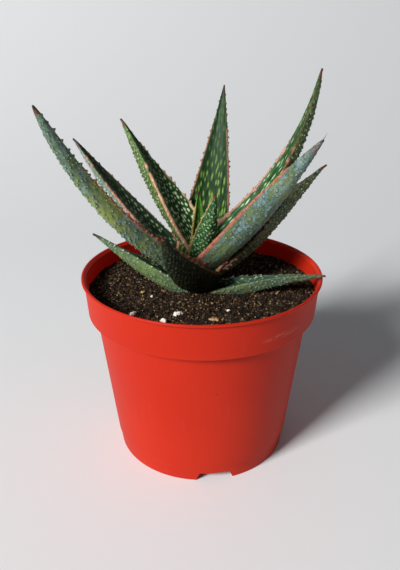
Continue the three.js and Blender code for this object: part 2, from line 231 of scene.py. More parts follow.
class Shader:
    """A material with short calls for the nodes that every finish here is made of."""

    def __init__(self, name, **values):
        self.material = bpy.data.materials.new(name)
        self.material.use_nodes = True
        self.nodes = self.material.node_tree.nodes
        self.links = self.material.node_tree.links
        self.surface = self.nodes["Principled BSDF"]
        self.place = self.nodes.new("ShaderNodeTexCoord").outputs["Object"]
        self.set(**values)

    def feed(self, socket, value):
        """Sets a socket to a number or a colour, or links an output to it."""
        if isinstance(value, (int, float, tuple)):
            socket.default_value = value
        else:
            self.links.new(value, socket)

    def set(self, **values):
        """Feeds the surface; in a name here and in node, _ stands for a space."""
        for key, value in values.items():
            self.feed(self.surface.inputs[key.replace("_", " ")], value)

    def node(self, kind, **values):
        made = self.nodes.new("ShaderNode" + kind)
        for key, value in values.items():
            self.feed(made.inputs[key.replace("_", " ")], value)
        return made

    def attribute(self, name, output="Fac"):
        made = self.node("Attribute")
        made.attribute_name = name
        return made.outputs[output]

    def noise(self, scale=1.0, detail=3.0, stretch=(1.0, 1.0, 1.0)):
        vector = self.node("Mapping", Vector=self.place, Scale=stretch).outputs["Vector"]
        made = self.node("TexNoise", Vector=vector, Scale=scale, Detail=detail, Roughness=0.55)
        return made.outputs["Fac"]

    def cells(self, scale, output="Distance"):
        return self.node("TexVoronoi", Vector=self.place, Scale=scale).outputs[output]

    def band(self, value, low, high, to_low=0.0, to_high=1.0):
        made = self.node("MapRange", Value=value, From_Min=low, From_Max=high, To_Min=to_low, To_Max=to_high)
        made.interpolation_type = "SMOOTHSTEP"
        return made.outputs["Result"]

    def math(self, operation, *values):
        made = self.node("Math")
        made.operation = operation
        for socket, value in zip(made.inputs, values):
            self.feed(socket, value)
        return made.outputs["Value"]

    def total(self, *parts):
        """The sum of values, each times its weight."""
        out = 0.0
        for value, weight in parts:
            out = self.math("MULTIPLY_ADD", value, weight, out)
        return out

    def mix(self, factor, a, b):
        made = self.node("Mix", Factor=factor)
        made.data_type = "RGBA"
        for socket, value in zip([s for s in made.inputs if s.type == "RGBA"], (a, b)):
            self.feed(socket, value)
        return next(s for s in made.outputs if s.type == "RGBA")

    def lay(self, under, value, low, high, over, share=1.0):
        """Lays a colour over another, up to the share, where the value goes from low to high."""
        return self.mix(self.band(value, low, high, 0.0, share), under, over)

    def let_through(self, colour, share):
        """Thin walls pass this share of the light on to their other side."""
        glow = self.node("BsdfTranslucent", Color=colour)
        mixed = self.node("MixShader", Fac=share)
        self.feed(mixed.inputs[1], self.surface.outputs["BSDF"])
        self.feed(mixed.inputs[2], glow.outputs["BSDF"])
        self.feed(self.nodes["Material Output"].inputs["Surface"], mixed.outputs["Shader"])

    def bump(self, height, strength, distance):
        made = self.node("Bump", Height=height, Strength=strength, Distance=distance * MM)
        self.set(Normal=made.outputs["Normal"])


# Camera, floor and light


def build_camera():
    data = bpy.data.cameras.new("camera")
    data.sensor_fit = "VERTICAL"
    data.sensor_height = SENSOR
    data.lens = CAMERA_FOCAL_PIXELS / PHOTO_HEIGHT * SENSOR
    data.clip_start = CAMERA_NEAR
    camera = add_object("camera", data)
    camera.location = [AXIS[0] + CAMERA_PLACE[0] * MM, AXIS[1] + CAMERA_PLACE[1] * MM, CAMERA_PLACE[2] * MM]
    camera.rotation_euler = (math.radians(90 - CAMERA_DIP), 0, 0)
    SCENE.camera = camera


def build_studio():
    """A pale sheet that lies under the pot and curves up behind it, in a dim room."""
    shader = Shader("studio_paper", Base_Color=(0.785, 0.807, 0.826, 1.0), Roughness=0.95)
    bend_start, bend_radius, half_width = 0.3, 1.7, 3.5
    outline = [(-3.0, 0.0), (bend_start, 0.0)]
    for angle in np.radians(np.linspace(0, 60, 41)[1:]):
        outline.append((bend_start + bend_radius * math.sin(angle), bend_radius * (1 - math.cos(angle))))
    points = [(x, y, z) for y, z in outline for x in (-half_width, half_width)]
    faces = [(2 * i, 2 * i + 1, 2 * i + 3, 2 * i + 2) for i in range(len(outline) - 1)]
    sheet = add_object("sheet", smooth_mesh("sheet", points, faces))
    sheet.data.materials.append(shader.material)
    world = bpy.data.worlds.new("studio")
    world.use_nodes = True
    background = world.node_tree.nodes["Background"].inputs
    background["Color"].default_value = (0.93, 0.96, 1.0, 1.0)
    background["Strength"].default_value = ROOM_STRENGTH
    SCENE.world = world
    SCENE.view_settings.view_transform = "Standard"


def build_window():
    """One square lamp that looks at the middle of the pot."""
    data = bpy.data.lights.new("window", "AREA")
    data.size = KEY_SIZE
    data.energy = KEY_POWER
    data.color = (1.0, 0.985, 0.965)
    azimuth, rise = math.radians(KEY_AZIMUTH), math.radians(KEY_RISE)
    flat = KEY_DISTANCE * math.cos(rise)
    aim = Vector((0, 0, KEY_AIM))
    place = aim + Vector((flat * math.cos(azimuth), flat * math.sin(azimuth), KEY_DISTANCE * math.sin(rise)))
    lamp = add_object("window", data)
    lamp.location = place
    lamp.rotation_euler = (aim - place).to_track_quat("-Z", "Y").to_euler()


# Pot


def body_radius(z):
    return POT.foot_radius + (POT.neck_radius - POT.foot_radius) * z / POT.collar_z


def arc(centre, radius, start, end, count):
    """Points of an arc in the plane of radius and height, angles in degrees from outwards."""
    angles = np.radians(np.linspace(start, end, count))
    return [(centre[0] + radius * math.cos(a), centre[1] + radius * math.sin(a)) for a in angles]


def collar_radius(z):
    slope = (POT.collar_top - POT.collar_low) / (POT.height - POT.lip_height - POT.collar_z)
    return POT.collar_low + slope * (z - POT.collar_z)


def pot_profile():
    """Outline of the shell, from the middle of the underside out, up, over the lip and down."""
    top, lip_low = POT.height, POT.height - POT.lip_height
    foot = POT.foot_radius - POT.foot_step
    under, line, low = POT.foot_height, POT.foot_line, POT.collar_z
    inner_foot = body_radius(under) - POT.foot_step - POT.wall
    outline = [(0.0, under), (12.0, under), (30.0, under), (inner_foot - 0.5, under)]
    outline += [(inner_foot, under - 0.4), (foot - POT.wall - 0.5, 0.4), (foot - POT.wall - 0.2, 0.0)]
    outline += arc((foot - 0.6, 0.6), 0.6, -90, 0, 5)
    outline += [(body_radius(line) - POT.foot_step, line - 0.1), (body_radius(line), line + 0.25)]
    outline += [(body_radius(z), z) for z in np.linspace(line + 0.5, low - 2.6, 24)]
    outline += arc((POT.neck_radius + 1.4, low - 1.5), 1.5, 180, 100, 6)
    outline += [(POT.collar_low - 1.6, low + 0.02)]
    outline += arc((POT.collar_low - 0.75, low + 0.85), 0.85, -80, 0, 6)
    outline += [(collar_radius(z), z) for z in np.linspace(low + 1.2, lip_low - 0.5, 14)]
    lip = POT.lip_radius
    outline += [(POT.collar_top + 0.02, lip_low - 0.12), (POT.collar_top + 0.3, lip_low + 0.02)]
    outline += arc((lip - 0.45, lip_low + 0.45), 0.45, -80, 0, 4)
    outline += arc((lip - 0.45, top - 0.45), 0.45, 0, 80, 5)
    groove = lip - POT.lip_width / 2
    outline += [(groove + 0.12, top - 0.02), (groove, top - 0.16), (groove - 0.12, top - 0.02)]
    inner = lip - POT.lip_width + 0.35
    outline += arc((inner, top - 0.35), 0.35, 90, 170, 4)
    inner_low = POT.collar_low - POT.wall
    floor_top = under + POT.floor
    outline += [(POT.collar_top - POT.wall, top - 1.3), (collar_radius(88) - POT.wall, 88.0)]
    outline += [(inner_low + 0.1, low + 3.0), (inner_low - 1.0, low + POT.wall)]
    outline += [(body_radius(low) - POT.wall, low + POT.wall - 0.3)]
    outline += [(body_radius(floor_top) - POT.wall, floor_top), (20.0, floor_top), (0.0, floor_top)]
    return outline


def lathe(profile, sides):
    """Points and faces of a closed turned body; the first and last point lie on the axis."""
    angles = np.linspace(0, 2 * math.pi, sides, endpoint=False)
    rings = profile[1:-1]
    points = [(r * math.cos(a), r * math.sin(a), z) for r, z in rings for a in angles]
    points += [(0, 0, profile[0][1]), (0, 0, profile[-1][1])]
    return points, ring_faces(len(rings), sides)


def cut(piece, cutters):
    """Subtracts the cutters from the piece for good."""
    for cutter in cutters:
        step = piece.modifiers.new("cut", "BOOLEAN")
        step.object = cutter
        step.operation = "DIFFERENCE"
        step.solver = "EXACT"
    bpy.context.view_layer.update()
    shaped = bpy.data.meshes.new_from_object(piece.evaluated_get(bpy.context.evaluated_depsgraph_get()))
    piece.modifiers.clear()
    piece.data = shaped
    tidied = bmesh.new()
    tidied.from_mesh(shaped)
    bmesh.ops.remove_doubles(tidied, verts=tidied.verts, dist=SLIVER * MM)
    bmesh.ops.dissolve_degenerate(tidied, edges=tidied.edges, dist=SLIVER * MM)
    tidied.to_mesh(shaped)
    tidied.free()
    for cutter in cutters:
        bpy.data.objects.remove(cutter)


def cutter_from(points, faces):
    """A closed body to cut with, from points in millimetres, its faces turned out."""
    places = [(x * MM + AXIS[0], y * MM + AXIS[1], z * MM) for x, y, z in points]
    mesh = smooth_mesh("cutter", places, faces)
    turned = bmesh.new()
    turned.from_mesh(mesh)
    bmesh.ops.recalc_face_normals(turned, faces=turned.faces)
    turned.to_mesh(mesh)
    turned.free()
    return add_object("cutter", mesh)


def pot_cutters():
    """Notches in the foot, and drain holes in the middle and in a ring."""
    cutters = []
    top = POT.foot_height - 0.2
    slope = (NOTCH_BOTTOM - NOTCH_TOP) / 2 / POT.foot_height
    for azimuth in NOTCH_AZIMUTHS:
        turn = Matrix.Rotation(math.radians(azimuth), 4, "Z")
        halves = [(NOTCH_BOTTOM / 2 + slope, -1.0), (NOTCH_TOP / 2, top)]
        corners = [
            turn @ Vector((radius, side * half, z))
            for radius in (POT.foot_radius - 8, POT.foot_radius + 6)
            for half, z in halves
            for side in (-1, 1)
        ]
        faces = [(0, 1, 3, 2), (4, 6, 7, 5), (0, 2, 6, 4), (1, 5, 7, 3), (0, 4, 5, 1), (2, 3, 7, 6)]
        cutters.append(cutter_from(corners, faces))
    places = [(0.0, 0.0)]
    for i in range(DRAIN_COUNT):
        angle = 2 * math.pi * i / DRAIN_COUNT
        places.append((DRAIN_RING * math.cos(angle), DRAIN_RING * math.sin(angle)))
    profile = [(0, DRAIN_LOW), (DRAIN_RADIUS, DRAIN_LOW), (DRAIN_RADIUS, DRAIN_HIGH), (0, DRAIN_HIGH)]
    points, faces = lathe(profile, 32)
    for x, y in places:
        cutters.append(cutter_from([(px + x, py + y, pz) for px, py, pz in points], faces))
    return cutters


def pot_material():
    shader = Shader("pot_plastic", IOR=1.47, Specular_IOR_Level=0.2)
    broad = shader.noise(14.0, 2.0)
    colour = shader.lay(srgb("c62a12"), broad, 0.3, 0.7, srgb("cf3118"))
    patch = shader.band(shader.noise(30.0, 2.0), 0.57, 0.68)
    dirt = shader.math("MULTIPLY", shader.band(shader.cells(150.0), 0.1, 0.04), patch)
    colour = shader.mix(shader.math("MULTIPLY", dirt, 0.75), colour, srgb("4a1d14"))
    grain = shader.noise(260.0, 4.0, (1.0, 1.0, 0.15))
    colour = shader.lay(colour, grain, 0.6, 0.85, srgb("e8826a"), 0.12)
    broken = shader.band(shader.noise(330.0, 4.0, (1.0, 1.0, 2.5)), 0.42, 0.6)
    scuff = shader.math("MULTIPLY", shader.attribute("scuff"), broken)
    shader.set(Base_Color=shader.mix(scuff, colour, srgb("e79a84")))
    shader.set(Roughness=shader.band(broad, 0.2, 0.8, 0.42, 0.52))
    shader.bump(shader.noise(900.0, 2.0), 0.12, 0.15)
    shader.let_through(srgb("ff2008"), 0.22)
    return shader.material


def build_pot():
    points, faces = lathe(pot_profile(), POT.sides)
    pot = mesh_piece("pot_shell", points, faces, "pot", pot_material())
    cut(pot, pot_cutters())
    places = np.zeros(len(pot.data.vertices) * 3)
    pot.data.vertices.foreach_get("co", places)
    x, y, z = ((places.reshape(-1, 3) - [AXIS[0], AXIS[1], 0]) / MM).T
    outside = np.clip((np.hypot(x, y) - SCUFF_INSIDE) * 4, 0, 1)
    across = np.clip(1 - np.abs(z - SCUFF_HEIGHT) / SCUFF_HALF_HEIGHT, 0, 1) * outside
    along = np.clip(1 - np.abs(np.degrees(np.arctan2(y, x)) - SCUFF_AZIMUTH) / SCUFF_REACH, 0, 1)
    scuff = np.clip(across * along * 2.2, 0, SCUFF_STRENGTH).astype(np.float32)
    pot.data.attributes.new("scuff", "FLOAT", "POINT").data.foreach_set("value", scuff)
    smooth_by_angle(pot, 38)


def smooth_by_angle(piece, degrees):
    """Edges sharper than the angle stay crisp."""
    edges = bmesh.new()
    edges.from_mesh(piece.data)
    for edge in edges.edges:
        edge.smooth = edge.calc_face_angle(0.0) < math.radians(degrees)
    edges.to_mesh(piece.data)
    edges.free()


# Soil and what lies on it


def soil_height(x, y):
    """Height of the soil, with its lumps and crumbs."""
    radius = np.hypot(x, y)
    height = SOIL_LEVEL + SOIL_MOUND * np.exp(-((radius / SOIL_REACH) ** 2))
    height = height + 0.7 * value_noise(x / 9, y / 9, 3) + 0.4 * value_noise(x / 3.4, y / 3.4, 4)
    (crumbs,) = scattered_bumps(x, y, (1.7, 1.5), [(1.0, 0.85)], seed=5, presence=0.7, jitter=0.45)
    shifted = (x + 31, y + 17)
    (fine,) = scattered_bumps(*shifted, (0.95, 0.85), [(0.55, 0.5)], seed=6, presence=0.8, jitter=0.45)
    edge = np.clip((SOIL_TOP_RADIUS - radius) / 2.5, 0, 1)
    return height + edge * (0.7 * np.sqrt(crumbs) + 0.4 * np.sqrt(fine) - 0.5)


def soil_material():
    shader = Shader("potting_soil", Roughness=0.95, Specular_IOR_Level=0.25)
    grain = shader.noise(520.0, 4.0)
    colour = shader.lay(srgb("0e0805"), grain, 0.36, 0.62, srgb("2b1e15"))
    chance = shader.node("SeparateColor", Color=shader.cells(1150.0, "Color")).outputs
    colour = shader.lay(colour, chance["Red"], 0.78, 0.9, srgb("5c432b"), 0.9)
    colour = shader.lay(colour, chance["Green"], 0.93, 0.97, srgb("9a7f58"), 0.9)
    colour = shader.lay(colour, chance["Blue"], 0.6, 0.7, srgb("0d0805"), 0.85)
    tone = shader.attribute("tone")
    colour = shader.lay(colour, tone, 0.5, 0.75, srgb("4a331f"))
    shader.set(Base_Color=shader.lay(colour, tone, 0.84, 0.98, srgb("a0845a")))
    shader.bump(shader.noise(1500.0, 3.0), 0.5, 0.3)
    return shader.material


def fibrous_material(name, dark, light, roughness, scale, relief=None, detail=3.0, stretch=(1.0, 1.0, 1.0)):
    """Fine fibres in two colours, with relief of a strength and a height in millimetres."""
    shader = Shader(name, Roughness=roughness)
    fibre = shader.noise(scale, detail, stretch)
    shader.set(Base_Color=shader.mix(fibre, srgb(dark), srgb(light)))
    if relief:
        shader.bump(fibre, *relief)
    return shader.material


def build_soil(material):
    rings, sides = 118, 600
    radii = SOIL_TOP_RADIUS * np.linspace(0, 1, rings + 1)[1:] ** 0.9
    angles = np.linspace(0, 2 * math.pi, sides, endpoint=False)
    x = np.outer(radii, np.cos(angles))
    y = np.outer(radii, np.sin(angles))
    top = np.stack([x, y, soil_height(x, y)], -1).reshape(-1, 3)
    side = [(r * math.cos(a), r * math.sin(a), z) for r, z in SOIL_SIDE for a in angles]
    hubs = [(0, 0, soil_height(np.zeros(1), np.zeros(1))[0]), (0, 0, SOIL_SIDE[-1][1])]
    points = np.concatenate([top, side, hubs])
    faces = ring_faces(rings + len(SOIL_SIDE), sides, turned=True)
    tone = {"tone": np.zeros(len(points))}
    mesh_piece("soil_bed", points, faces, "soil", material, tone)


def unit_ball(level):
    """Points and faces of a ball of triangles."""
    ball = bmesh.new()
    bmesh.ops.create_icosphere(ball, subdivisions=level, radius=1.0)
    points = np.array([tuple(v.co) for v in ball.verts])
    faces = np.array([tuple(v.index for v in f.verts) for f in ball.faces])
    ball.free()
    return points, faces


def turned_about(points, angles, a, b):
    """Each row of points turned by its own angle, from axis a towards axis b."""
    cos, sin = np.cos(angles)[:, None], np.sin(angles)[:, None]
    out = points.copy()
    out[..., a] = points[..., a] * cos - points[..., b] * sin
    out[..., b] = points[..., a] * sin + points[..., b] * cos
    return out


def scatter(name, material, count, seed, sizes, darkest, power, lift):
    """Loose bits over the soil, in one piece: knocked-about balls with their own half sizes and tones."""
    ball, triangles = unit_ball(1)
    rng = np.random.default_rng(seed)
    # The first draws go unused, one for each point of the ball, so that every bit keeps its place.
    rng.bit_generator.advance(len(ball))
    radius = (SOIL_TOP_RADIUS - 0.9) * np.sqrt(rng.uniform(size=count))
    angle = rng.uniform(0, 2 * math.pi, count)
    x, y = radius * np.cos(angle), radius * np.sin(angle)
    half = sizes(rng, count)
    shapes = ball[None] * rng.uniform(0.72, 1.28, (count, len(ball), 1)) * half[:, None]
    spin, tilt = rng.uniform(0, 2 * math.pi, count), rng.uniform(-0.45, 0.45, count)
    shapes = turned_about(turned_about(shapes, tilt, 2, 0), spin, 0, 1)
    shapes += np.stack([x, y, soil_height(x, y) + half[:, 2] * lift], -1)[:, None]
    tone = {"tone": np.repeat(rng.uniform(darkest, 1, count) ** power, len(ball))}
    starts = (np.arange(count) * len(ball))[:, None, None]
    faces = (triangles[None] + starts).reshape(-1, 3).tolist()
    mesh_piece(name, shapes.reshape(-1, 3), faces, None, material, tone)


def crumb_sizes(rng, count):
    return (0.2 + 0.32 * rng.uniform(size=(count, 1)) ** 2.4) * rng.uniform(0.65, 1.35, (count, 3))


def fibre_sizes(rng, count):
    return np.stack([rng.uniform(*reach, count) for reach in ((0.5, 1.5), (0.1, 0.17), (0.1, 0.15))], -1)


def build_crumbs(material):
    """Crumbs sit half in the soil, and fibres lie just on it."""
    scatter("soil_crumbs", material, 7600, 11, crumb_sizes, darkest=0.0, power=1.7, lift=0.5)
    scatter("soil_fibres", material, 1500, 12, fibre_sizes, darkest=0.35, power=1.0, lift=1.2)


# Half sizes in millimetres, turn in degrees, and what the grain is. The yellow one is shrunk once shaped.
GRAINS = {
    "perlite_1": ((1.9, 1.0, 0.9), 40, "perlite"),
    "perlite_2": ((2.2, 1.2, 1.1), 10, "perlite"),
    "perlite_3": ((1.6, 1.1, 1.0), -30, "perlite"),
    "perlite_4": ((0.9, 0.7, 0.6), 20, "perlite"),
    "perlite_5": ((0.9, 0.6, 0.6), 75, "perlite"),
    "yellow_grain": ((1.5, 1.1, 0.9), 30, "yellow"),
    "bark_chip": ((2.3, 1.2, 0.8), -12, "bark"),
}
YELLOW_SCALE = 0.7
GRAIN_COLOURS = {
    "perlite": ("f4f1e8", "cfc9ba"),
    "yellow": ("c9ac5a", "8f7434"),
    "bark": ("b8946a", "6f5236"),
}


def grain_material(kind):
    light, dark = map(srgb, GRAIN_COLOURS[kind])
    shader = Shader("grain_" + kind, Roughness=0.9)
    shader.set(Base_Color=shader.lay(dark, shader.noise(900.0, 4.0), 0.3, 0.62, light))
    shader.bump(shader.noise(2200.0, 3.0), 0.6, 0.25)
    return shader.material


def build_grains():
    materials = {kind: grain_material(kind) for kind in GRAIN_COLOURS}
    for number, (name, (half, turn, kind)) in enumerate(GRAINS.items()):
        ball, faces = unit_ball(4)
        x, y, z = (ball * half).T
        swell = 1 + 0.3 * value_noise(x * 1.3 + 9, y * 1.5 + z * 1.1 + 5, 50 + number)
        swell += 0.16 * value_noise(x * 4 + 3, y * 4 + z * 3, 60 + number)
        points = ball * half * swell[:, None] * (YELLOW_SCALE if kind == "yellow" else 1.0)
        points = points @ np.array(Matrix.Rotation(math.radians(turn), 3, "Z")).T
        points += millimetre_box(name).mean(0)
        mesh_piece(name + "_look", points, faces.tolist(), name, materials[kind])


def tube(path, radii, sides):
    """Points and faces of a closed tube along a path."""
    path = np.asarray(path, float)
    along = np.gradient(path, axis=0)
    along /= np.linalg.norm(along, axis=1)[:, None]
    side = np.cross(along, [0.0, 0.0, 1.0])
    side /= np.linalg.norm(side, axis=1)[:, None]
    up = np.cross(side, along)
    angles = np.linspace(0, 2 * math.pi, sides, endpoint=False)
    rings = [
        p + r * (np.outer(np.cos(angles), s) + np.outer(np.sin(angles), u))
        for p, r, s, u in zip(path, radii, side, up)
    ]
    points = np.concatenate(rings + [path[:1], path[-1:]])
    return points, ring_faces(len(path), sides, turned=True)


def build_twig():
    low, high = millimetre_box("twig")
    z = (low[2] + high[2]) / 2
    share = np.linspace(0, 1, 40)
    bow = 0.2 * np.sin(share * math.pi)
    x = low[0] + 0.3 + (high[0] - low[0] - 0.6) * share
    y = low[1] + 0.6 + (high[1] - low[1] - 1.2) * share - bow
    path = np.stack([x, y, z + 0.25 * np.sin(share * 9)], -1)
    radii = 0.5 - 0.18 * share + 0.05 * np.sin(share * 40)
    points, faces = tube(path, radii, 14)
    bark = fibrous_material("twig_bark", "1a100a", "5b3f28", 0.85, 1200.0, (0.6, 0.2))
    mesh_piece("twig_look", points, faces, "twig", bark)


def build_stem():
    radii, heights = np.array(STEM_PROFILE).T
    fine = np.linspace(heights[0], heights[-1], 70)
    swell = np.interp(fine, heights, radii) * (1 + 0.035 * np.sin(fine * 2.4))
    profile = [(0.0, heights[0] - 0.6), *zip(swell.tolist(), fine.tolist()), (0.0, heights[-1] + 0.2)]
    points, faces = lathe(profile, 40)
    skin = fibrous_material("stem_skin", "3a2c1a", "8a7a4c", 0.8, 900.0, (0.5, 0.3), stretch=(1.0, 1.0, 0.2))
    mesh_piece("stem_look", points, faces, "stem", skin)


# Leaves

# Names of each leaf's colours, in the order in which it gives them. A margin may leave out the last, a colour
# that paints the light on its right edge.
COLOUR_NAMES = {
    "back": ("back", "back_2", "patch", "bead", "ring"),
    "face": ("face", "face_2", "face_end", "halo", "spot"),
    "margin": ("margin", "margin_2", "tooth", "right_margin_painted_light"),
    "tip": ("tip", "tip_2"),
}

